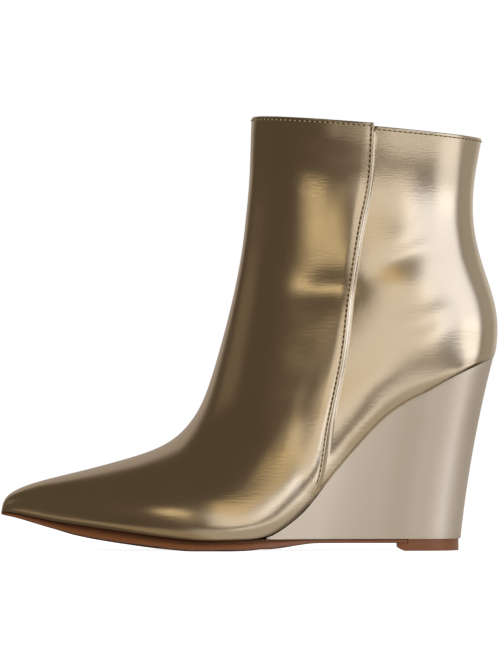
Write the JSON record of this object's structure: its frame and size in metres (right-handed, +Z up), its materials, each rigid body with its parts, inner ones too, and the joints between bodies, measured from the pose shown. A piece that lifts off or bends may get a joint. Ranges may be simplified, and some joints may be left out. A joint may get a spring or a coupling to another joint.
{
  "type": "heeled ankle boot",
  "caption": "Heeled ankle boot for the left foot with a pointed toe, lapped side seams, a covered wedge heel and a thin sole.",
  "frame": {"origin": "centre of the bounding box at the floor, with the heel's base and the forefoot's flat spot at z = 0", "axes": "-X towards the toe, -Y towards the outer side of the left foot, +Z up"},
  "size_m": [0.242, 0.0779, 0.2106],
  "materials": {
    "upper_metallic": "metallic gold coating, glossy",
    "insole_sock": "matte",
    "wedge_cover": "metallic champagne coating, satin",
    "outsole_rubber": "smooth, satin",
    "top_lift_rubber": "smooth, satin"
  },
  "bodies": {
    "root": {"upper": "upper_metallic", "insole": "insole_sock", "wedge_heel": "wedge_cover", "outsole": "outsole_rubber", "top_lift": "top_lift_rubber"}
  },
  "joints": []
}
